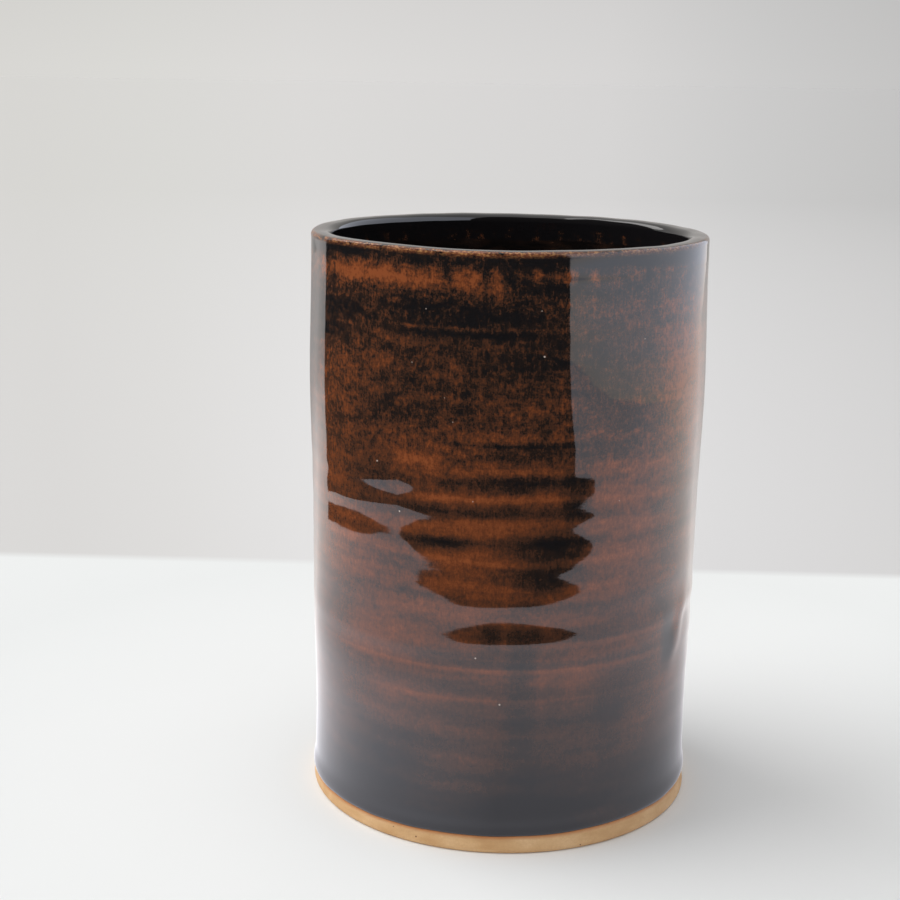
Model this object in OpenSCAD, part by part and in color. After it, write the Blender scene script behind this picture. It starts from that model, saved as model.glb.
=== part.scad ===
// Brush pot: a wheel-thrown stoneware cylinder with a poured liner glaze, a dipped
// outside glaze, a second dip over the rim and a bare clay foot.
// Millimetres. Origin at the centre of the resting plane, +Z up.

/* [Pot] */
// Overall height, from the resting plane to the top of the glazed lip
pot_h = 115; // [95:1:140]
// Diameter of the clay wall at mid height, before glazing
clay_d = 77.4; // [66:0.2:96]
// Clay wall thickness at the lip
rim_wall = 3.2; // [2.8:0.1:4.5]
// Clay wall thickness at the foot
foot_wall = 4.8; // [4.6:0.1:6.5]
// Clay floor thickness at the centre
floor_t = 6; // [4.5:0.5:9]
// Radius of the thrown curve between the wall and the floor, inside
corner_r = 7; // [4:0.5:11]

/* [Hand-thrown form] */
// How far the shoulder swells outwards, at three quarters of the height
belly = 0.5; // [0:0.05:1.2]
// How far the wall draws in above the foot
waist = 0.45; // [0:0.05:0.9]
// How far the foot flares out at the resting plane
foot_flare = 0.65; // [0:0.05:1]
// Distance between throwing rings
ring_pitch = 7.6; // [5:0.1:12]
// Height of the throwing rings, outside and inside
ring_depth = 0.05; // [0:0.01:0.12]

/* [Foot] */
// Height of the bare clay band below the glaze
bare_h = 3; // [2:0.5:8]
// Width of the ring that the pot stands on
foot_ring_w = 8; // [5:0.5:12]
// Depth of the trimmed recess under the floor
recess_depth = 1.4; // [0.6:0.1:2]
// Rounding of the foot's outer edge
foot_edge_r = 0.7; // [0.3:0.1:1.2]

/* [Lip] */
// Rounding of the clay lip's outer edge
lip_out_r = 0.6; // [0.4:0.1:1]
// Rounding of the clay lip's inner edge
lip_in_r = 1.1; // [0.6:0.1:1.5]

/* [Glaze] */
// Thickness of the outside glaze
outer_t = 0.45; // [0.3:0.05:0.8]
// Thickness that the outside and liner glazes thin to at the lip
thin_t = 0.2; // [0.15:0.05:0.25]
// Thickness of the liner glaze
inner_t = 0.4; // [0.3:0.05:0.8]
// Extra thickness of the roll where the outside glaze stops above the foot
roll_t = 0.2; // [0:0.02:0.4]
// Thickness of the second dip on the walls beside the lip
dip_t = 0.16; // [0.1:0.02:0.3]
// Thickness of the glaze on top of the lip
lip_t = 0.22; // [0.15:0.01:0.3]
// How far the second dip reaches down from the lip
dip_h = 6; // [4.5:0.5:12]

/* [Hidden] */
$fn = 180;
wall_step = 1.25;    // height of one band of the wall's outline
arc_steps = 6;       // bands around each rounded edge
thin_h = 4;          // height over which a coat thins below the lip
roll_h = 1;          // height over which the outside coat's lower edge rounds over
dip_edge_h = 2;      // height over which the second dip's lower edge rounds over
eps = 0.001;

clay_top = pot_h - lip_t;
lip_out_z = clay_top - lip_out_r;   // where the lip's outer rounding starts
lip_in_z = clay_top - lip_in_r;     // where its inner rounding starts
corner_z = floor_t + corner_r;      // where the inside corner meets the wall
dip_z = pot_h - dip_h;              // lower edge of the second dip

// ---------- shape of the wall, as radius against height ----------

function bump(z, centre, spread, height) = height * exp(-pow((z - centre) / spread, 2));

// 0 at a, 1 at b, with no corner at either end
function smooth(z, a, b) =
    let (t = min(1, max(0, (z - a) / (b - a))))
    t * t * (3 - 2 * t);

// 0 at a, rising as a quarter ellipse to 1 at a + h: the rounded edge of a coat
function rounded(z, a, h) =
    let (t = min(1, max(0, (z - a) / h)))
    sqrt(1 - (1 - t) * (1 - t));

// Throwing rings: strongest in the lower middle, where the fingers pressed hardest
function rings(z, lag) =
    ring_depth * (0.35 + bump(z, 0.45 * pot_h, 0.28 * pot_h, 0.65))
    * sin(360 * z / ring_pitch + 50 * sin(100 * z / ring_pitch) + lag);

function clay_r(z) =
    clay_d / 2
    + bump(z, 0.74 * pot_h, 0.14 * pot_h, belly)
    - bump(z, 0.16 * pot_h, 0.13 * pot_h, waist)
    + bump(z, 0, 0.03 * pot_h, foot_flare)
    + bump(z, pot_h, 0.02 * pot_h, 0.15)
    + rings(z, 0);

function bore_r(z) =
    clay_d / 2 - foot_wall + (foot_wall - rim_wall) * z / pot_h
    + bump(z, 0.74 * pot_h, 0.14 * pot_h, 0.6 * belly)
    + rings(z, 120);

// The outside coat ends in a rounded roll above the foot and thins towards the lip
function outer_coat(z) =
    rounded(z, bare_h, roll_h)
    * (outer_t - (outer_t - thin_t) * smooth(z, lip_out_z - thin_h, lip_out_z)
       + bump(z, bare_h + 1.6, 1.5, roll_t));

function inner_coat(z) =
    inner_t - (inner_t - thin_t) * smooth(z, lip_in_z - thin_h, lip_in_z);

function dip_coat(z) = dip_t * rounded(z, dip_z, dip_edge_h);

function glazed_r(z) = clay_r(z) + outer_coat(z);
function liner_r(z) = bore_r(z) - inner_coat(z);

// ---------- heights of the outline's corners, shared by the clay and its coats ----------

function levels(a, b) =
    let (n = max(1, ceil((b - a) / wall_step)))
    [for (i = [0 : n]) a + (b - a) * i / n];

// Closer together near a, where a coat's edge rounds over
function edge_levels(a, h) = [for (i = [0 : arc_steps]) a + h * (1 - cos(90 * i / arc_steps))];

function rest(list) = [for (i = [1 : len(list) - 1]) list[i]];
function reversed(list) = [for (i = [len(list) - 1 : -1 : 0]) list[i]];

foot_zs = levels(foot_edge_r, bare_h);
dip_edge_zs = edge_levels(dip_z, dip_edge_h);
outside_zs = concat(
    edge_levels(bare_h, roll_h),
    rest(levels(bare_h + roll_h, dip_z)),
    rest(dip_edge_zs),
    rest(levels(dip_z + dip_edge_h, lip_out_z)));
inside_zs = concat(
    levels(corner_z, dip_z),
    rest(dip_edge_zs),
    rest(levels(dip_z + dip_edge_h, lip_in_z)));

// ---------- outlines, as lists of [radius, height] ----------

// Part of a circle, with its own radius at each end
function arc(centre, r_from, r_to, angle_from, angle_to) =
    [for (i = [0 : arc_steps])
        let (t = i / arc_steps,
             r = r_from + (r_to - r_from) * smooth(t, 0, 1),
             a = angle_from + (angle_to - angle_from) * t)
        centre + r * [cos(a), sin(a)]];

clay_foot = [for (z = foot_zs) [clay_r(z), z]];
clay_out = [for (z = outside_zs) [clay_r(z), z]];
clay_in = [for (z = inside_zs) [bore_r(z), z]];
glaze_out = [for (z = outside_zs) [glazed_r(z), z]];
glaze_in = [for (z = inside_zs) [liner_r(z), z]];

out_centre = [clay_r(lip_out_z) - lip_out_r, lip_out_z];
in_centre = [bore_r(lip_in_z) + lip_in_r, lip_in_z];

clay_lip = concat(
    arc(out_centre, lip_out_r, lip_out_r, 0, 90),
    arc(in_centre, lip_in_r, lip_in_r, 90, 180));

// Curve between the inside wall and the floor, shared by the clay and the liner
corner_centre = [bore_r(corner_z) - corner_r, corner_z];
clay_corner = arc(corner_centre, corner_r, corner_r, 0, -90);
liner_corner = arc(corner_centre, corner_r - inner_coat(corner_z), corner_r - inner_t, 0, -90);

foot_centre = [clay_r(foot_edge_r) - foot_edge_r, foot_edge_r];
foot_edge = arc(foot_centre, foot_edge_r, foot_edge_r, -90, 0);
ring_in_r = foot_centre[0] - foot_ring_w;

// ---------- the pieces ----------

// Fired clay: wall, floor and foot are one lump of clay
module stoneware_body() {
    color("burlywood") rotate_extrude() polygon(concat(
        [[0, recess_depth], [ring_in_r - 2 * recess_depth, recess_depth], [ring_in_r, 0]],
        foot_edge,
        rest(clay_foot),
        rest(clay_out),
        rest(clay_lip),
        rest(reversed(clay_in)),
        rest(clay_corner),
        [[0, floor_t]]));
}

// Liner: poured in and out, so it covers the floor and the wall up to the lip
module inner_glaze() {
    color("#1d1411") rotate_extrude() polygon(concat(
        [[0, floor_t]],
        reversed(clay_corner),
        rest(clay_in),
        reversed(glaze_in),
        rest(liner_corner),
        [[0, floor_t + inner_t]]));
}

// Outside coat, from the roll above the foot up to the lip
module outer_glaze() {
    color("#4a2414") rotate_extrude() polygon(concat(
        rest(glaze_out),
        reversed(clay_out)));
}

// Second dip: over the lip and down both sides of it, on top of the other two coats
module rim_glaze() {
    out_side = [for (p = glaze_out) if (p[1] > dip_z - eps) p];
    in_side = [for (p = glaze_in) if (p[1] > dip_z - eps) p];
    color("#2a1710") rotate_extrude() polygon(concat(
        [for (p = rest(out_side)) p + [dip_coat(p[1]), 0]],
        rest(arc(out_centre, lip_out_r + thin_t + dip_t, lip_out_r + lip_t, 0, 90)),
        arc(in_centre, lip_in_r + lip_t, lip_in_r + thin_t + dip_t, 90, 180),
        [for (p = rest(reversed(rest(in_side)))) p - [dip_coat(p[1]), 0]],
        in_side,
        reversed(clay_lip),
        reversed(out_side)));
}

stoneware_body();
inner_glaze();
outer_glaze();
rim_glaze();
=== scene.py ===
import math

import bpy
import numpy as np
from mathutils import Matrix, Vector


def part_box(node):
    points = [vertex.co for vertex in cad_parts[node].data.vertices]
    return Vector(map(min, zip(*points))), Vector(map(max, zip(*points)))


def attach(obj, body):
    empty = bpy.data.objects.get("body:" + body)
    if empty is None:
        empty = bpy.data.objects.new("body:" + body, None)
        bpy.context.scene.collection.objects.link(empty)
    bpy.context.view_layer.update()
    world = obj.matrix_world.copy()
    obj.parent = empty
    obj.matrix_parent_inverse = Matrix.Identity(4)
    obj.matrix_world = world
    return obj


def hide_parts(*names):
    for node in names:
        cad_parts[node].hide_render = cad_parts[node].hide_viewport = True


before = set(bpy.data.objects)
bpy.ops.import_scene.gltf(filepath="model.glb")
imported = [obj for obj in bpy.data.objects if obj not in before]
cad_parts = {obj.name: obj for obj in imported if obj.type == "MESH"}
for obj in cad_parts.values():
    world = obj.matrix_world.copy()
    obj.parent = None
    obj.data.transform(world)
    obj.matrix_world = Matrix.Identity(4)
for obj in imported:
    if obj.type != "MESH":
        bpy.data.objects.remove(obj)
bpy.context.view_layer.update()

# A hand-thrown brush pot: buff stoneware, a dark iron glaze that breaks to rust, a bare foot.
# Shapes are worked out in millimetres, as in the CAD model, and turned into metres by build().
# Angles round the pot run anticlockwise from +X, so the side facing the camera is FRONT.

MM = 0.001
TURN = 2 * math.pi
FRONT = 1.5 * math.pi

# ---------- sizes, in millimetres ----------

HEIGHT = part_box("rim_glaze")[1].z / MM
DIP_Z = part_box("rim_glaze")[0].z / MM           # lower edge of the second dip
BARE_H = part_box("outer_glaze")[0].z / MM        # mean height of the line where the glaze stops
FLOOR_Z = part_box("inner_glaze")[0].z / MM       # clay floor, inside
CLAY_R = 38.7                                   # clay wall at mid height
RIM_WALL, FOOT_WALL = 3.2, 4.8                  # clay wall's thickness at the lip and at the foot
CORNER_R = 7                                    # curve between the wall and the floor, inside
BELLY, WAIST, FOOT_FLARE = 0.5, 0.45, 0.65
FOOT_RING_W, RECESS_DEPTH, FOOT_EDGE_R = 8, 1.4, 0.7
LIP_OUT_R, LIP_IN_R = 0.6, 1.1
OUTER_T, INNER_T, THIN_T, ROLL_T, DIP_T, LIP_T = 0.45, 0.4, 0.2, 0.2, 0.16, 0.22    # of the glaze
THIN_H, ROLL_H = 4, 1                           # heights over which a coat thins, and rounds over

CLAY_TOP = HEIGHT - LIP_T
LIP_OUT_Z = CLAY_TOP - LIP_OUT_R
LIP_IN_Z = CLAY_TOP - LIP_IN_R
CORNER_Z = FLOOR_Z + CORNER_R

# Heights of the throwing rings' crests on the outside, from the foot up
RING_CRESTS = (-6, 3, 12, 20, 27, 34.5, 42.2, 51.8, 58, 67.3, 74.3, 80.5, 87, 94, 101, 108, 116, 124)

# Relief of those rings at each height, and how far, in turns, they are out of step on the left there
RING_RELIEF = ((0, 0.008), (20, 0.012), (34, 0.016), (44, 0.100), (50, 0.030), (57, 0.008), (61, 0.034),
               (66, 0.036), (71, 0.026), (75, 0.008), (81, 0.004), (116, 0.004))
LEFT_LAG = ((48, 0), (54, -0.32), (60, -0.38), (66, -0.24), (69, 0.05), (72.5, 0.25), (76, 0.2), (82, 0))

INSIDE_RING_PITCH, INSIDE_RING_RELIEF = 8.5, 0.09
TRIMMING_PITCH, TRIMMING_RELIEF = 2.3, 0.035    # the spiral left by trimming, under the floor
SWIRL_PITCH, SWIRL_RELIEF = 6.5, 0.12           # the spiral left by throwing, on the floor inside

# One soft swelling at the lower right of the front, which leans a little
SWELLING_Z, SWELLING_ANGLE, SWELLING_LEAN = 39, 333, 0.6
SWELLING_HEIGHT, SWELLING_WIDTH, SWELLING_TALL = 0.32, 3.6, 6


# ---------- shape ----------

def bump(x, centre, spread, height):
    return height * np.exp(-((x - centre) / spread) ** 2)


def smooth(x, a, b):
    """0 at a, 1 at b, with no corner at either end."""
    t = np.clip((x - a) / (b - a), 0, 1)
    return t * t * (3 - 2 * t)


def rounded(x, a, h):
    """0 at a, rising as a quarter ellipse to 1 at a + h."""
    t = np.clip((x - a) / h, 0, 1)
    return np.sqrt(1 - (1 - t) ** 2)


def between(x, knots):
    """Straight lines between knots, each a place and the value there."""
    places, values = zip(*knots)
    return np.interp(x, places, values)


def sector(theta, centre, half_width):
    """1 on one side of the pot and 0 away from it. Both are in degrees."""
    return np.exp(-((theta - math.radians(centre)) / math.radians(half_width)) ** 4)


def wander(seed, theta, z, waves, around, along):
    """A smooth random field, mostly from -1 to 1: a sum of waves, of which up to around fit round the pot
    and which lie about along mm apart up it."""
    rng = np.random.default_rng(seed)
    field = 0
    for _ in range(waves):
        k = rng.integers(1, around + 1)
        slope = rng.normal() * TURN / along
        field = field + np.sin(k * theta + slope * z + rng.uniform(0, TURN))
    return field / math.sqrt(waves)


def rings_outside(theta, z):
    """Throwing rings rise one ring per turn. They are deep where the fingers pressed, faint near the lip."""
    left, right = sector(theta, 229, 27), sector(theta, 300, 24)
    phase = np.interp(z, RING_CRESTS, range(len(RING_CRESTS))) - (theta - FRONT) / TURN
    phase = phase + 0.07 * wander(11, theta, z, 6, 4, 40)
    phase = phase + left * between(z, LEFT_LAG) + 0.18 * right * (1 - smooth(z, 68, 76))
    lean = 0.5 * np.sin(theta - FRONT) * (1 - smooth(z, 46, 54))
    uneven = 1 + lean + 0.2 * wander(12, theta, z, 6, 5, 30) + bump(z, 63, 4.5, 0.5) * left
    return between(z, RING_RELIEF) * uneven * (np.cos(TURN * phase) + 0.12 * np.cos(2 * TURN * phase + 1.2))


def rings_inside(theta, z):
    """The rings inside, which fade out towards the floor and towards the lip."""
    phase = z / INSIDE_RING_PITCH - theta / TURN
    fade = smooth(z, CORNER_Z, CORNER_Z + 10) * (1 - smooth(z, HEIGHT - 12, HEIGHT - 3))
    return INSIDE_RING_RELIEF * (1 + 0.3 * wander(21, theta, z, 6, 3, 40)) * np.cos(TURN * phase) * fade


def clay_r(theta, z):
    return (
        CLAY_R
        + bump(z, 0.74 * HEIGHT, 0.14 * HEIGHT, BELLY)
        - bump(z, 0.16 * HEIGHT, 0.13 * HEIGHT, WAIST)
        + bump(z, 0, 0.03 * HEIGHT, FOOT_FLARE)
        + bump(z, HEIGHT, 0.02 * HEIGHT, 0.15)
        + rings_outside(theta, z)
    )


def bore_r(theta, z):
    return (
        CLAY_R - FOOT_WALL + (FOOT_WALL - RIM_WALL) * z / HEIGHT
        + bump(z, 0.74 * HEIGHT, 0.14 * HEIGHT, 0.6 * BELLY)
        + rings_inside(theta, z)
    )


def glaze_line(theta):
    """Height where the outside glaze stops above the foot: low on the left, high on the right."""
    return (
        BARE_H + 0.1
        + 0.62 * np.sin(theta - math.radians(235))
        + 0.09 * wander(31, theta, 0, 8, 9, 1)
        + 0.04 * wander(32, theta, 0, 8, 30, 1)
    )


def dip_line(theta):
    """Height where the second dip stops below the lip."""
    return DIP_Z + 0.35 * wander(33, theta, 0, 8, 12, 1) + 0.5


def outer_coat(theta, z):
    line = glaze_line(theta)
    return rounded(z, line, ROLL_H) * (
        OUTER_T - (OUTER_T - THIN_T) * smooth(z, LIP_OUT_Z - THIN_H, LIP_OUT_Z)
        + bump(z, line + 1.6, 1.5, ROLL_T)
    )


def inner_coat(z):
    return INNER_T - (INNER_T - THIN_T) * smooth(z, LIP_IN_Z - THIN_H, LIP_IN_Z)


def dip_coat(theta, z):
    """The second dip melts into the first coat, so its lower edge has no step."""
    return DIP_T * smooth(z, dip_line(theta), LIP_OUT_Z - 0.5)


def place(theta, r, z):
    """Takes a perfectly turned shape out of true, as a hand does, and gives points in millimetres."""
    outside = smooth(r, 36.5, 38)
    around = theta - np.radians(SWELLING_ANGLE + SWELLING_LEAN * (z - SWELLING_Z))
    swelling = SWELLING_HEIGHT * np.exp(
        -(around / math.radians(SWELLING_WIDTH)) ** 2 - ((z - SWELLING_Z) / SWELLING_TALL) ** 2)
    round_error = (
        0.10 * np.cos(2 * theta + 0.6) * smooth(z, 5, HEIGHT)
        + 0.05 * wander(41, theta, z, 6, 3, 90) * smooth(z, 3, 30)
    )
    lift = 0.09 * wander(42, theta, 0, 8, 6, 1) + 0.03 * wander(43, theta, 0, 8, 24, 1)
    r = r + (round_error + swelling * outside) * smooth(r, 4, 25)
    z = z + lift * smooth(z, HEIGHT - 14, HEIGHT - 1)
    return np.stack(np.broadcast_arrays(r * np.cos(theta), r * np.sin(theta), z), -1)


# ---------- meshes ----------

def stations(a, b, step):
    return np.linspace(a, b, max(2, round(abs(b - a) / step) + 1))


def edge_stations(a, h):
    """Heights from a to a + h, closer together near a, where a coat's edge rounds over."""
    for angle in np.linspace(0, math.pi / 2, 8):
        yield a + h * (1 - math.cos(angle))


def arc(centre_r, centre_z, radius, start, end, count):
    """Points (r, z) round part of a circle; centre_r, centre_z and radius may vary round the pot."""
    for angle in np.radians(np.linspace(start, end, count)):
        yield centre_r + radius * math.cos(angle), centre_z + radius * math.sin(angle)


def build(name, rings, theta, poles, values=None):
    """A closed mesh from rings of points round the pot, in order. poles says that the first and the last
    ring close on the axis; otherwise the last ring joins the first. values holds vertex attributes."""
    rings = [(r + 0 * theta, z + 0 * theta) for r, z in rings]
    points = np.stack([place(theta, r, z) for r, z in rings])
    count, around = points.shape[:2]
    vertices = points.reshape(-1, 3)
    i, j = np.meshgrid(np.arange(around), np.arange(count - poles))
    after, above = (i + 1) % around, (j + 1) % count
    faces = np.stack([j * around + i, j * around + after, above * around + after, above * around + i], -1)
    faces = faces.reshape(-1, 4).tolist()
    if poles:
        ends = [points[0].mean(0) * (0, 0, 1), points[-1].mean(0) * (0, 0, 1)]
        vertices = np.concatenate([vertices, ends])
        first, last = count * around, count * around + 1
        top = (count - 1) * around
        faces += [(first, (k + 1) % around, k) for k in range(around)]
        faces += [(last, top + k, top + (k + 1) % around) for k in range(around)]
    mesh = bpy.data.meshes.new(name)
    mesh.from_pydata((vertices * MM).tolist(), [], faces)
    mesh.polygons.foreach_set("use_smooth", [True] * len(mesh.polygons))
    mesh.set_sharp_from_angle(angle=math.radians(50))
    for key, value in (values or {}).items():
        data = np.zeros(len(vertices), np.float32)
        data[: count * around] = np.stack([value(theta, r, z) for r, z in rings]).ravel()
        mesh.attributes.new(key, "FLOAT", "POINT").data.foreach_set("value", data)
    mesh.update()
    piece = bpy.data.objects.new(name, mesh)
    bpy.context.scene.collection.objects.link(piece)
    return piece


def angles(count):
    return np.linspace(0, TURN, count, endpoint=False)


def lip_outline(theta, out_r, in_r, count):
    """The lip's section from outside to inside: a rounded outer edge, a nearly flat top, an inner edge."""
    out_centre = clay_r(theta, LIP_OUT_Z) - LIP_OUT_R
    in_centre = bore_r(theta, LIP_IN_Z) + LIP_IN_R
    shape = []
    for k, angle in enumerate(np.radians(np.linspace(0, 90, count))):
        r = out_r[0] + (out_r[1] - out_r[0]) * smooth(k / (count - 1), 0, 1)
        shape.append((out_centre + r * math.cos(angle), LIP_OUT_Z + r * math.sin(angle)))
    top = shape[-1][1]
    for t in (0.25, 0.5, 0.75):
        shape.append((out_centre + (in_centre - out_centre) * t, top + 0.05 * math.sin(math.pi * t)))
    for k, angle in enumerate(np.radians(np.linspace(90, 180, count))):
        r = in_r[0] + (in_r[1] - in_r[0]) * smooth(k / (count - 1), 0, 1)
        shape.append((in_centre + r * math.cos(angle), LIP_IN_Z + r * math.sin(angle)))
    return shape


def make_clay():
    """The thrown pot itself: only its foot shows below the glaze."""
    theta = angles(360)
    foot_r = clay_r(theta, FOOT_EDGE_R) - FOOT_EDGE_R
    ring_in = foot_r - FOOT_RING_W
    slope_w = 2 * RECESS_DEPTH
    rings = []
    for t in np.linspace(0.02, 1, 44):
        r = (ring_in - slope_w) * t
        trimming = TRIMMING_RELIEF * np.cos(TURN * (r / TRIMMING_PITCH - theta / TURN)) * smooth(r, 1, 5)
        rings.append((r, RECESS_DEPTH + trimming))
    for t in np.linspace(0.12, 1, 8):
        rings.append((ring_in - slope_w * (1 - t), RECESS_DEPTH * (1 - smooth(t, 0, 1))))
    for t in np.linspace(0.1, 0.9, 9):
        rings.append((ring_in + FOOT_RING_W * t, 0))
    rings += arc(foot_r, FOOT_EDGE_R, FOOT_EDGE_R, -90, 0, 9)
    for z in stations(1, 6, 0.25):
        rings.append((clay_r(theta, z), z))
    for z in stations(8, LIP_OUT_Z - 1, 2.5):
        rings.append((clay_r(theta, z), z))
    rings += lip_outline(theta, (LIP_OUT_R, LIP_OUT_R), (LIP_IN_R, LIP_IN_R), 5)
    for z in stations(LIP_IN_Z - 1, CORNER_Z, 2.5):
        rings.append((bore_r(theta, z), z))
    rings += arc(bore_r(theta, CORNER_Z) - CORNER_R, CORNER_Z, CORNER_R, -9, -90, 8)
    rings.append((3 + 0 * theta, FLOOR_Z))
    return build("clay_pot", rings, theta, True, {"line": lambda t, r, z: z - glaze_line(t)})


def make_liner():
    """The poured coat on the inside wall and the floor."""
    theta = angles(360)
    centre_r = bore_r(theta, CORNER_Z) - CORNER_R
    corner = list(arc(centre_r, CORNER_Z, CORNER_R, -90, 0, 7))
    liner_corner = list(arc(centre_r, CORNER_Z, CORNER_R - INNER_T, 0, -90, 14))
    rings = [(3 + 0 * theta, FLOOR_Z), (15 + 0 * theta, FLOOR_Z)] + corner
    rings += [(bore_r(theta, z), z) for z in stations(CORNER_Z + 4, LIP_IN_Z, 4)]
    rings += [(bore_r(theta, z) - inner_coat(z), z) for z in stations(LIP_IN_Z, CORNER_Z + 0.6, 0.66)]
    rings += liner_corner
    for t in np.linspace(0.98, 0.02, 34):
        r = centre_r * t
        swirl = SWIRL_RELIEF * np.cos(TURN * (r / SWIRL_PITCH + theta / TURN))
        swirl = swirl * smooth(r, 1, 6) * (1 - smooth(r, 18, 26))
        rings.append((r, FLOOR_Z + INNER_T + swirl + bump(r, 0, 5, 0.4)))
    return build("liner_coat", rings, theta, True)


def make_outside():
    """The dipped outside coat, with a roll above the foot where it stops."""
    theta = angles(360)
    line = glaze_line(theta)
    first = BARE_H + 2.5
    rings = []
    for z in edge_stations(line, ROLL_H):
        rings.append((clay_r(theta, z) + outer_coat(theta, z), z))
    for t in np.linspace(0, 1, 7)[1:]:
        z = line + ROLL_H + (first - line - ROLL_H) * t
        rings.append((clay_r(theta, z) + outer_coat(theta, z), z))
    for z in stations(first, LIP_OUT_Z, 0.5)[1:]:
        rings.append((clay_r(theta, z) + outer_coat(theta, z), z))
    for z in stations(LIP_OUT_Z, first, 6):
        rings.append((clay_r(theta, z), z))
    return build("outside_coat", rings, theta, False, {"pool": pool, "grain": grain})


def make_rim():
    """The second dip, over the lip and down both sides of it."""
    theta = angles(720)
    line = dip_line(theta)
    chips = 0.09 * np.clip(wander(51, theta, 0, 14, 90, 1) - 0.9, 0, 1)
    out_side = [(clay_r(theta, z) + outer_coat(theta, z), z)
                for z in [line + (LIP_OUT_Z - line) * t for t in np.linspace(0, 1, 22)]]
    in_side = [(bore_r(theta, z) - inner_coat(z), z)
               for z in [line + (LIP_IN_Z - line) * t for t in np.linspace(0, 1, 18)]]
    rings = [(r + dip_coat(theta, z), z) for r, z in out_side[:-1]]
    edge = THIN_T + DIP_T
    skin = lip_outline(theta, (LIP_OUT_R + edge, LIP_OUT_R + LIP_T), (LIP_IN_R + LIP_T, LIP_IN_R + edge), 9)
    rings += [(r - chips * bump(k, 4.5, 2.5, 1), z) for k, (r, z) in enumerate(skin)]
    rings += [(r - dip_coat(theta, z), z) for r, z in in_side[-2::-1]]
    rings += in_side[1:-1:4]
    rings += lip_outline(theta, (LIP_OUT_R, LIP_OUT_R), (LIP_IN_R, LIP_IN_R), 5)[::-1]
    rings += out_side[-2:0:-4]
    return build("rim_coat", rings, theta, False, {"pool": pool, "grain": grain, "edge": lip_edge})


# ---------- where the glaze pools and where it breaks ----------

# Dark pools and thin rusty places: degrees right of the front, height, half width in degrees,
# half height, and strength (dark above 0, rusty below)
PATCHES = (
    (-48, 109.9, 26, 1.7, -0.42),
    (-14, 109.0, 12, 1.5, -0.28),
    (12, 108.5, 12, 3.0, 0.30),
    (-30, 104.0, 22, 2.4, 0.30),
    (0, 103.0, 14, 3.0, 0.28),
    (-14, 101.2, 28, 0.35, -0.22),
    (-10, 100.0, 24, 0.40, 0.40),
    (30, 104.5, 14, 2.2, -0.12),
    (4, 97, 16, 4.0, 0.15),
    (-50, 86, 14, 7, -0.06),
    (-50, 100.5, 17, 5, 0.12),
    (-46, 76, 18, 4, 0.12),
    (4, 91, 20, 10, 0.05),
    (6, 77, 24, 5, 0.05),
    (27, 93, 8, 10, 0.16),
    (60, 94, 16, 14, -0.30),
    (-2, 80.3, 18, 0.35, 0.35),
    (-26, 76.8, 9, 2.2, -0.26),
    (4, 75.3, 16, 0.8, -0.25),
    (0, 72.9, 18, 1.2, 0.22),
    (-8, 69.9, 22, 0.7, -0.28),
    (-12, 67.4, 18, 0.9, 0.36),
    (20, 70.5, 4, 5.5, 0.35),
    (55, 109, 24, 4, 0.35),
    (62, 88, 16, 14, -0.14),
    (56.5, 39.5, 2.8, 5.5, 0.50),
    (57.5, 36, 3.2, 2.2, 0.45),
    (51, 46, 4, 2.2, 0.25),
    (-16, 61.4, 7, 1.3, 0.42),
    (8, 60.6, 12, 1.5, 0.22),
    (16, 58.5, 8, 5.0, 0.26),
    (12, 53.5, 5, 1.8, 0.25),
    (-12, 57.0, 10, 2.4, -0.12),
    (6, 36, 4.5, 16, 0.26),
    (-3, 44, 3, 4, 0.20),
    (15, 33, 3, 8, 0.14),
    (33, 25, 5, 8, 0.12),
    (24, 41.9, 26, 0.45, -0.20),
    (0, 38.9, 22, 0.35, -0.12),
    (-5, 36.9, 60, 0.45, -0.24),
    (5, 31.0, 50, 0.45, -0.12),
)


# How thick the glaze lies at each height, on average: thickest at the foot and just below the lip
POOL_DEPTH = ((0, 1.15), (8, 1.05), (13, 0.88), (20, 0.70), (30, 0.59), (45, 0.52), (58, 0.47), (75, 0.52),
              (85, 0.64), (95, 0.68), (103, 0.69), (106.4, 0.62), (109.6, 0.58), (111.6, 0.68), (112.8, 1.0))
STREAK_Z, STREAK_PITCH, FINE_STREAK_PITCH = 58.5, 5.7, 2.3


def pool(theta, r, z):
    """How thick the glaze lies, from 0, thin and rusty, to 1, thick and black."""
    degrees = np.degrees((theta - FRONT + math.pi) % TURN - math.pi)
    height = z + 0.5 * wander(61, theta, z, 8, 5, 60) + 0.7 * (theta - FRONT) / TURN - STREAK_Z
    streak = np.cos(TURN * height / STREAK_PITCH) + 0.45 * np.cos(TURN * height / FINE_STREAK_PITCH + 1)
    streak_depth = 0.025 + 0.015 * smooth(z, 12, 30) + 0.075 * smooth(z, 42, 58) * (1 - smooth(z, 78, 86))
    streak_depth = streak_depth * (1 - 0.5 * smooth(z, 63, 70)) * (1 - 0.5 * smooth(np.abs(degrees), 20, 42))
    cloud = wander(62, theta, z, 14, 9, 26)
    band = wander(63, theta, z, 16, 6, 7)
    fingers = 0.22 * wander(64, theta, z, 24, 75, 60) * bump(z, 110.6, 1.6, 1)
    inside = 1 - smooth(r, 35.8, 36.6)
    depth = between(z, POOL_DEPTH) - streak_depth * streak + 0.07 * cloud + 0.05 * band + fingers
    depth = depth + 0.5 * inside
    for angle, centre, half_width, half_height, strength in PATCHES:
        across, up = (degrees - angle) / half_width, (z - centre) / half_height
        depth = depth + strength * np.exp(-np.abs(across) ** 3 - up ** 2)
    return depth


def grain(theta, r, z):
    """How coarsely the glaze is mottled: strongly in the upper third, hardly at all near the foot."""
    return 0.32 + 0.23 * smooth(z, 25, 60) + 0.45 * smooth(z, 66, 86) + 0.2 * smooth(z, 100, 106)


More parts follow.
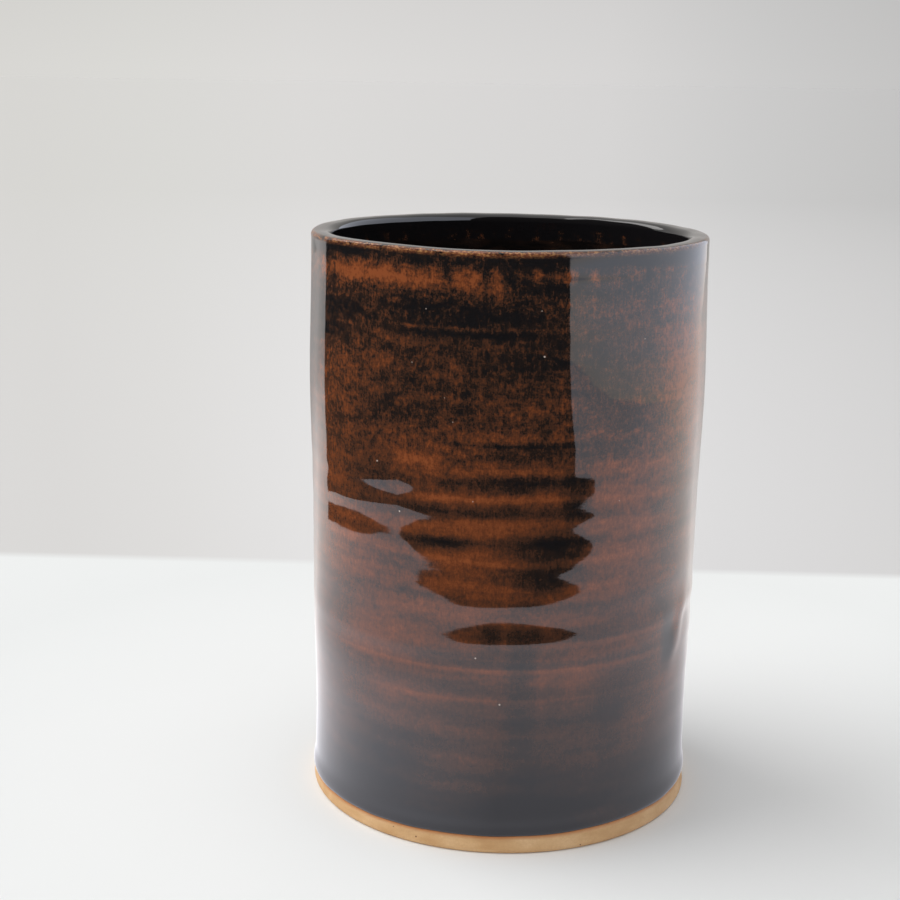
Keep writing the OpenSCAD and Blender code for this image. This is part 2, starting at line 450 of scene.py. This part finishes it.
# How far the glaze breaks to rust on the lip, at each angle in degrees: most on the left of the front
LIP_RUST = ((0, 0.5), (90, 0.6), (180, 0.9), (270, 1), (282, 0.6), (330, 0.45), (360, 0.5))


def lip_edge(theta, r, z):
    """1 on the lip's outer edge, where the glaze is thinnest and breaks to rust."""
    edge = clay_r(theta, LIP_OUT_Z) + 0.1
    outer_half = r > 0.5 * (edge + 36)
    band = bump(r, edge, 0.42, 1) * smooth(z, HEIGHT - 1.3, HEIGHT - 0.5)
    return between(np.degrees(theta), LIP_RUST) * band * outer_half


# ---------- materials ----------

def srgb(red, green, blue):
    """A display colour, 0 to 255, as the linear colour that a shader takes."""
    def linear(value):
        value = value / 255
        return value / 12.92 if value <= 0.04045 else ((value + 0.055) / 1.055) ** 2.4
    return (linear(red), linear(green), linear(blue), 1)


class Nodes:
    """A node tree being written: each call adds one node and gives its output."""

    def __init__(self, tree):
        self.tree = tree

    def add(self, kind, inputs=None, **settings):
        node = self.tree.nodes.new(kind)
        for key, value in settings.items():
            setattr(node, key, value)
        for key, value in (inputs or {}).items():
            self.plug(node.inputs[key], value)
        return node

    def plug(self, socket, value):
        if isinstance(value, bpy.types.NodeSocket):
            self.tree.links.new(value, socket)
        else:
            socket.default_value = value

    def coordinates(self, kind):
        return self.add("ShaderNodeTexCoord").outputs[kind]

    def split(self, vector):
        return self.add("ShaderNodeSeparateXYZ", {0: vector}).outputs

    def length(self, vector):
        return self.add("ShaderNodeVectorMath", {0: vector}, operation="LENGTH").outputs["Value"]

    def math(self, operation, a, b=0.0):
        return self.add("ShaderNodeMath", {0: a, 1: b}, operation=operation).outputs[0]

    def product(self, value, *others):
        for other in others:
            value = self.math("MULTIPLY", value, other)
        return value

    def spread(self, value, low, high, to_low=0.0, to_high=1.0):
        """Maps low..high to to_low..to_high, with no values outside it."""
        inputs = {"Value": value, "From Min": low, "From Max": high, "To Min": to_low, "To Max": to_high}
        return self.add("ShaderNodeMapRange", inputs).outputs[0]

    def ramp(self, value, stops):
        node = self.add("ShaderNodeValToRGB", {"Fac": value})
        while len(node.color_ramp.elements) < len(stops):
            node.color_ramp.elements.new(0.5)
        for element, (position, colour) in zip(node.color_ramp.elements, stops):
            element.position = position
            element.color = colour
        return node.outputs[0]

    def mix(self, factor, a, b):
        return self.add("ShaderNodeMix", {0: factor, 6: a, 7: b}, data_type="RGBA").outputs[2]


class Surface(Nodes):
    """A material on a surface. Sizes of its textures are in millimetres; fixed holds shader settings."""

    def __init__(self, name, **fixed):
        self.material = bpy.data.materials.new(name)
        self.material.use_nodes = True
        super().__init__(self.material.node_tree)
        self.shader = self.tree.nodes["Principled BSDF"]
        for socket, value in fixed.items():
            self.shader.inputs[socket.replace("_", " ")].default_value = value
        self.place = self.coordinates("Object")

    def stretched(self, size):
        """The place on the piece, in units of size, which is along X, Y and Z."""
        scale = tuple(1 / (s * MM) for s in size)
        return self.add("ShaderNodeVectorMath", {0: self.place, 1: scale}, operation="MULTIPLY").outputs[0]

    def noise(self, size, detail=2.0, roughness=0.5, distortion=0.0):
        inputs = {"Vector": self.stretched(size), "Scale": 1.0, "Detail": detail,
                  "Roughness": roughness, "Distortion": distortion}
        return self.add("ShaderNodeTexNoise", inputs).outputs[0]

    def specks(self, size, radius, share):
        """1 in a round speck of that radius in that share of the cells of a grid of that size."""
        cells = self.add("ShaderNodeTexVoronoi", {"Vector": self.stretched((size,) * 3), "Scale": 1.0})
        near = self.math("LESS_THAN", cells.outputs["Distance"], radius / size)
        chosen = self.add("ShaderNodeSeparateColor", {0: cells.outputs["Color"]}).outputs[0]
        return self.math("MULTIPLY", near, self.math("LESS_THAN", chosen, share))

    def attribute(self, name):
        return self.add("ShaderNodeAttribute", attribute_name=name).outputs["Fac"]

    def relief(self, height, depth, under=None):
        """A bump of that depth where height goes from 0 to 1, on top of the bump under."""
        inputs = {"Height": height, "Strength": 1.0, "Distance": depth * MM}
        if under is not None:
            inputs["Normal"] = under
        return self.add("ShaderNodeBump", inputs).outputs[0]

    def finish(self, colour, roughness, normal=None):
        self.plug(self.shader.inputs["Base Color"], colour)
        self.plug(self.shader.inputs["Roughness"], roughness)
        if normal is not None:
            self.plug(self.shader.inputs["Normal"], normal)
        return self.material


BLACK = srgb(21, 20, 22)
DARK = srgb(42, 30, 25)
BROWN = srgb(70, 44, 32)
RUST = srgb(106, 58, 34)
BRIGHT_RUST = srgb(136, 74, 42)
TAN = srgb(196, 140, 84)
# Pale specks: pinholes, painted pale as the glints of light they catch, a painted highlight
PINHOLE_GLINT = srgb(190, 175, 165)
LINER_RUST, LINER_BROWN, LINER_BLACK = srgb(80, 46, 30), srgb(38, 26, 21), srgb(18, 15, 15)
BUFF_DARK, BUFF, BUFF_PALE = srgb(196, 154, 104), srgb(209, 170, 122), srgb(220, 184, 138)
CLAY_GRAIN, CLAY_SPECK, SCORCHED = srgb(176, 126, 78), srgb(110, 66, 38), srgb(188, 112, 54)
GLAZE_IOR = 1.62


def glaze_relief(graph):
    """The skin of a fired glaze: slow waves, fine streaks along the rings and a faint orange peel."""
    waves = graph.noise((9, 9, 7), 2.0)
    streaks = graph.noise((5, 5, 1.1), 3.0, 0.6)
    peel = graph.noise((0.7, 0.7, 0.7), 1.0)
    normal = graph.relief(waves, 0.025)
    normal = graph.relief(streaks, 0.003, normal)
    return graph.relief(peel, 0.001, normal)


def mottle(graph):
    """Fine rust and black mottling that ran a little down the pot before it froze, centred on 0."""
    parts = (
        (graph.noise((0.62, 0.62, 0.95), 3.0, 0.6, 0.1), 0.30),
        (graph.noise((0.25, 0.25, 0.32), 2.0), 0.18),
        (graph.noise((0.32, 0.32, 2.2), 2.0), 0.10),
        (graph.noise((2.8, 2.8, 1.9), 3.0, 0.6, 0.3), 0.26),
        (graph.noise((7.0, 7.0, 1.2), 3.0, 0.6), 0.16),
    )
    total = -0.5
    for value, share in parts:
        total = graph.math("ADD", graph.math("MULTIPLY", value, share), total)
    return total


def iron_colour(graph):
    """The glaze's depth, and its colour: rust where it is thin, through brown, to black where thick."""
    gain = graph.math("MULTIPLY", graph.attribute("grain"), 3.4)
    depth = graph.math("ADD", graph.attribute("pool"), graph.math("MULTIPLY", mottle(graph), gain))
    stops = ((0.15, BRIGHT_RUST), (0.38, RUST), (0.60, BROWN), (0.80, DARK), (1.0, BLACK))
    return depth, graph.ramp(depth, stops)


def outside_glaze():
    graph = Surface("iron_glaze", IOR=GLAZE_IOR)
    depth, colour = iron_colour(graph)
    upper = graph.spread(graph.split(graph.place)["Z"], 45 * MM, 80 * MM)
    # Pinholes with painted glints: small ones in clusters up high, wider ones more often higher up the pot
    clusters = graph.math("MULTIPLY", upper, graph.spread(graph.noise((9, 9, 6), 1.0), 0.50, 0.66))
    small_glints = graph.specks(1.9, 0.10, graph.math("MULTIPLY", clusters, 0.35))
    large_glints = graph.specks(5.0, 0.17, graph.spread(upper, 0.0, 1.0, 0.10, 0.45))
    colour = graph.mix(graph.math("MAXIMUM", small_glints, large_glints), colour, PINHOLE_GLINT)
    return graph.finish(colour, graph.spread(depth, 0.2, 1.0, 0.055, 0.035), glaze_relief(graph))


def rim_glaze():
    graph = Surface("rim_iron_glaze", IOR=GLAZE_IOR)
    depth, colour = iron_colour(graph)
    breaks = graph.noise((2.2, 2.2, 1.2), 4.0, 0.7)
    edge = graph.math("MULTIPLY", graph.attribute("edge"), graph.spread(breaks, 0.36, 0.52))
    flecks = graph.noise((0.5, 0.5, 0.3), 2.0)
    rust = graph.ramp(flecks, ((0.36, RUST), (0.50, BRIGHT_RUST), (0.66, TAN)))
    colour = graph.mix(edge, colour, rust)
    return graph.finish(colour, graph.spread(edge, 0.0, 1.0, 0.05, 0.30), glaze_relief(graph))


def liner_glaze():
    graph = Surface("liner_iron_glaze", IOR=GLAZE_IOR)
    streaks = graph.noise((6, 6, 1.6), 4.0, 0.6)
    streaked, mottled = graph.math("MULTIPLY", streaks, 1.5), graph.math("MULTIPLY", mottle(graph), 0.8)
    depth = graph.math("ADD", streaked, mottled)
    colour = graph.ramp(depth, ((0.2, LINER_RUST), (0.5, LINER_BROWN), (0.8, LINER_BLACK)))
    return graph.finish(colour, graph.spread(streaks, 0.3, 0.7, 0.14, 0.07), glaze_relief(graph))


def bare_clay():
    graph = Surface("buff_stoneware", IOR=1.45)
    cloud = graph.noise((7, 7, 3), 3.0)
    grain = graph.noise((0.45, 0.45, 0.3), 3.0, 0.7)
    colour = graph.ramp(cloud, ((0.3, BUFF_DARK), (0.5, BUFF), (0.7, BUFF_PALE)))
    colour = graph.mix(graph.spread(grain, 0.3, 0.75, 0.0, 0.35), colour, CLAY_GRAIN)
    colour = graph.mix(graph.specks(2.6, 0.17, 0.35), colour, CLAY_SPECK)
    flash = graph.spread(graph.attribute("line"), -0.75, -0.1, 0.0, 0.85)
    colour = graph.mix(flash, colour, SCORCHED)
    pits = graph.math("MULTIPLY", graph.specks(1.9, 0.22, 0.3), -1.0)
    normal = graph.relief(graph.noise((0.35, 0.35, 0.22), 4.0, 0.7), 0.05)
    normal = graph.relief(pits, 0.05, normal)
    return graph.finish(colour, graph.spread(grain, 0.2, 0.8, 0.92, 0.74), normal)


# ---------- the pieces ----------

for make, material, node, slot in (
    (make_clay, bare_clay, "stoneware_body", "bare_stoneware"),
    (make_liner, liner_glaze, "inner_glaze", "liner_glaze"),
    (make_outside, outside_glaze, "outer_glaze", "outside_glaze"),
    (make_rim, rim_glaze, "rim_glaze", "rim_glaze"),
):
    piece = make()
    piece.data.materials.append(material())
    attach(piece, "root")
    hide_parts(node)


# ---------- floor, light and camera, in metres ----------

TABLE_END = 0.142                               # how far behind the pot the table ends
ROOM_LEFT, ROOM_RIGHT, ROOM_DEPTH, ROOM_TOP = -0.9, 0.45, 0.9, 0.9
FLAG_Y, FLAG_TOP = -0.161, 0.6                  # the dark flag in front of the pot
SHINE_Z, CARD_Z = 0.0004, 0.0006                # the cards start just above the table
DARK_ROOM = (0.027, 0.024, 0.021)
BACK_WALL = (0.57, 0.55, 0.53)
SUN_COLOUR = (1.0, 0.99, 0.97)

# The backdrop's tone from left to right, and the ground's just behind the table, where it is painted shade:
# darker to the right, away from the light on the left, and a little at the far left
BACKDROP = (
    (0.0, (0.69, 0.68, 0.655, 1)),
    (0.13, (0.704, 0.697, 0.672, 1)),
    (0.28, (0.72, 0.708, 0.694, 1)),
    (0.6, (0.678, 0.668, 0.662, 1)),
    (0.745, (0.607, 0.603, 0.599, 1)),
    (1.0, (0.52, 0.515, 0.51, 1)),
)
NEAR_GROUND = (
    (0.0, (0.600, 0.597, 0.600, 1)),
    (0.13, (0.625, 0.623, 0.627, 1)),
    (0.28, (0.667, 0.667, 0.680, 1)),
    (0.6, (0.667, 0.667, 0.678, 1)),
    (0.75, (0.620, 0.620, 0.635, 1)),
    (1.0, (0.57, 0.57, 0.58, 1)),
)
FAR_GROUND = (0.835, 0.845, 0.865, 1)           # the far ground, as a share of the backdrop
# The table's colour close round the pot is painted lighter, painted light that lifts the pot's shade there;
# further out it is the table's own colour
TABLE_PAINTED_LIGHT, TABLE_FAR = (0.835, 0.85, 0.865, 1), (0.74, 0.76, 0.772, 1)
SPREAD = 0.3                                    # half the width of those tones, as a slope from the middle

# The flag's outline, as places across and up, and the plan of the dark wall that carries on from it
FLAG_OUTLINE = ((-0.105, CARD_Z), (0.188, CARD_Z), (0.180, 0.008), (0.120, 0.026), (0.102, 0.060),
                (0.090, 0.100), (0.088, FLAG_TOP), (-0.105, FLAG_TOP))
SIDE_PLAN = ((-0.105, FLAG_Y), (-0.14, -0.147), (-0.16, -0.143), (-0.19, -0.149), (-0.24, -0.141),
             (-0.243, -0.085), (-0.230, -0.028), (-0.218, 0.08), (-0.200, 0.113))

CAMERA_PLACE = (0, -0.3161, 0.1455)
YAW, PITCH, ROLL = -2.04, 13.45, 0.81           # degrees to the right, down, and anticlockwise
LENS, SENSOR = 63.38, 36                        # in millimetres


def make_floor():
    """One pale plane: a white table top near the pot, with painted light round the pot's foot, and slightly
    greyer ground behind it.
    """
    bpy.ops.mesh.primitive_plane_add(size=40)
    floor = bpy.context.object
    floor.name = "floor"
    graph = Surface("pale_floor", Specular_IOR_Level=0.0)
    parts = graph.split(graph.place)
    across, along = parts["X"], parts["Y"]
    behind = graph.spread(along, TABLE_END - 0.003, TABLE_END + 0.003)
    sideways = graph.math("DIVIDE", across, graph.math("ADD", graph.math("ABSOLUTE", along), 0.3))
    sideways = graph.spread(sideways, -SPREAD, SPREAD)
    # Painted shade on the ground: darker to the right, following the backdrop's tone
    near = graph.ramp(sideways, NEAR_GROUND)
    far = graph.ramp(sideways, [(stop, [c * share for c, share in zip(colour, FAR_GROUND)])
                                for stop, colour in BACKDROP])
    ground = graph.mix(graph.spread(along, 0.12, 1.6), near, far)
    # Painted light: the table is lightest within 5 cm of the pot's axis, fading out by 15 cm
    table = graph.mix(graph.spread(graph.length(graph.place), 0.05, 0.15), TABLE_PAINTED_LIGHT, TABLE_FAR)
    colour = graph.mix(behind, table, ground)
    mottling = graph.spread(graph.noise((30, 30, 30)), 0.3, 0.7, 0.0, 0.02)
    colour = graph.mix(mottling, colour, (0.6, 0.6, 0.6, 1))
    floor.data.materials.append(graph.finish(colour, 0.8))


def make_world():
    """The backdrop: its tone changes from left to right, and is a little darker above the horizon."""
    world = bpy.data.worlds.new("studio")
    world.use_nodes = True
    nodes = Nodes(world.node_tree)
    background = nodes.tree.nodes["Background"].inputs
    look = nodes.split(nodes.coordinates("Generated"))
    nodes.plug(background["Color"], nodes.ramp(nodes.spread(look["X"], -SPREAD, SPREAD), BACKDROP))
    nodes.plug(background["Strength"], nodes.spread(look["Z"], 0.0, 0.045, 1.0, 0.95))
    bpy.context.scene.world = world


def make_lamps():
    for name, energy, angle, aim in (
        ("window", 1.9, 62, (0.87, -0.14, -0.76)),
        ("ceiling", 0.62, 120, (0, 0, -1)),
    ):
        sun = bpy.data.lights.new(name, "SUN")
        sun.energy = energy
        sun.angle = math.radians(angle)
        sun.color = SUN_COLOUR
        lamp = bpy.data.objects.new(name, sun)
        lamp.rotation_euler = Vector(aim).to_track_quat("-Z", "Y").to_euler()
        bpy.context.scene.collection.objects.link(lamp)


def make_card(name, corners, faces, colour=(1, 1, 1)):
    """A card that shows only in reflections, as a studio's flags and soft boxes do. Gives its nodes and
    the sockets of its glow."""
    mesh = bpy.data.meshes.new(name)
    mesh.from_pydata(corners, [], faces)
    card = bpy.data.objects.new(name, mesh)
    bpy.context.scene.collection.objects.link(card)
    material = bpy.data.materials.new(name)
    material.use_nodes = True
    nodes = Nodes(material.node_tree)
    nodes.tree.nodes.clear()
    glow = nodes.add("ShaderNodeEmission", {"Color": (*colour, 1)})
    nodes.add("ShaderNodeOutputMaterial", {0: glow.outputs[0]})
    mesh.materials.append(material)
    card.visible_camera = False
    card.visible_diffuse = False
    card.visible_shadow = False
    card.visible_transmission = False
    return nodes, glow.inputs


def wall(plan, top):
    """Corners and faces of an upright strip that follows a line drawn on the table."""
    corners = [(x, y, z) for x, y in plan for z in (CARD_Z, top)]
    return corners, [(2 * k, 2 * k + 1, 2 * k + 3, 2 * k + 2) for k in range(len(plan) - 1)]


def make_cards():
    """The dark part of the room, in front and on the left, the bright window and the back wall."""
    make_card("dark_flag", [(x, FLAG_Y, z) for x, z in FLAG_OUTLINE], [range(len(FLAG_OUTLINE))], DARK_ROOM)
    make_card("dark_side", *wall(SIDE_PLAN, FLAG_TOP), DARK_ROOM)
    window = wall(((ROOM_RIGHT, -ROOM_DEPTH), (ROOM_RIGHT, ROOM_DEPTH)), ROOM_TOP)
    nodes, glow = make_card("soft_box", *window)
    height = nodes.spread(nodes.split(nodes.coordinates("Object"))["Z"], 0.005, 0.05)
    nodes.plug(glow["Color"], nodes.mix(height, (1.50, 1.40, 1.36, 1), (1.45, 1.52, 1.72, 1)))
    back = wall(((ROOM_RIGHT, ROOM_DEPTH), (ROOM_LEFT, ROOM_DEPTH)), ROOM_TOP)
    make_card("back_wall", *back, BACK_WALL)


def make_table_shine():
    """What the glaze mirrors of the table, a painted reflection on a glowing card: brighter towards the
    back, darker again beyond that and right behind the pot, and close to the foot painted light on the left
    and the pot's painted shadow on the right."""
    corners = [(ROOM_LEFT, -ROOM_DEPTH, SHINE_Z), (ROOM_RIGHT, -ROOM_DEPTH, SHINE_Z),
               (ROOM_RIGHT, ROOM_DEPTH, SHINE_Z), (ROOM_LEFT, ROOM_DEPTH, SHINE_Z)]
    nodes, glow = make_card("table_shine", corners, [(0, 1, 2, 3)])
    place = nodes.coordinates("Object")
    parts = nodes.split(place)
    across, along = parts["X"], parts["Y"]
    # Painted light by the foot on the left, and the pot's painted shadow by the foot on the right
    foot = nodes.spread(across, -0.08, 0.0, 1.6, 0.62)
    near = nodes.spread(nodes.length(place), 0.045, 0.13, foot, 1.0)
    level = nodes.spread(along, -0.17, 0.25, 1.13, 1.66)
    beyond = nodes.spread(along, 0.20, 0.36, 1.0, nodes.spread(across, -0.06, 0.06, 0.66, 0.88))
    slope = nodes.math("DIVIDE", nodes.math("ABSOLUTE", across), nodes.math("MAXIMUM", along, 0.02))
    narrow = nodes.spread(slope, 0.4, 0.85, 1.0, 0.0)
    behind = nodes.product(narrow, nodes.spread(along, 0.02, 0.12, 0.0, 0.55))
    strength = nodes.product(near, level, beyond, nodes.math("SUBTRACT", 1.0, behind))
    nodes.plug(glow["Strength"], strength)
    tint = nodes.spread(along, -0.05, 0.12)
    nodes.plug(glow["Color"], nodes.mix(tint, (0.94, 0.94, 1.04, 1), (0.96, 0.92, 0.90, 1)))


def make_camera():
    yaw, pitch, roll = (math.radians(angle) for angle in (YAW, PITCH, ROLL))
    forward = Vector((math.sin(yaw) * math.cos(pitch), math.cos(yaw) * math.cos(pitch), -math.sin(pitch)))
    level = Vector((math.cos(yaw), -math.sin(yaw), 0))
    upright = level.cross(forward)
    right = math.cos(roll) * level + math.sin(roll) * upright
    up = math.cos(roll) * upright - math.sin(roll) * level
    camera = bpy.data.objects.new("camera", bpy.data.cameras.new("camera"))
    camera.data.sensor_width = SENSOR
    camera.data.lens = LENS
    camera.data.clip_start = 0.01
    turned = Matrix((right, up, -forward)).transposed().to_4x4()
    camera.matrix_world = Matrix.Translation(CAMERA_PLACE) @ turned
    bpy.context.scene.collection.objects.link(camera)
    bpy.context.scene.camera = camera


make_floor()
make_world()
make_lamps()
make_cards()
make_table_shine()
make_camera()
bpy.context.scene.view_settings.view_transform = "Standard"
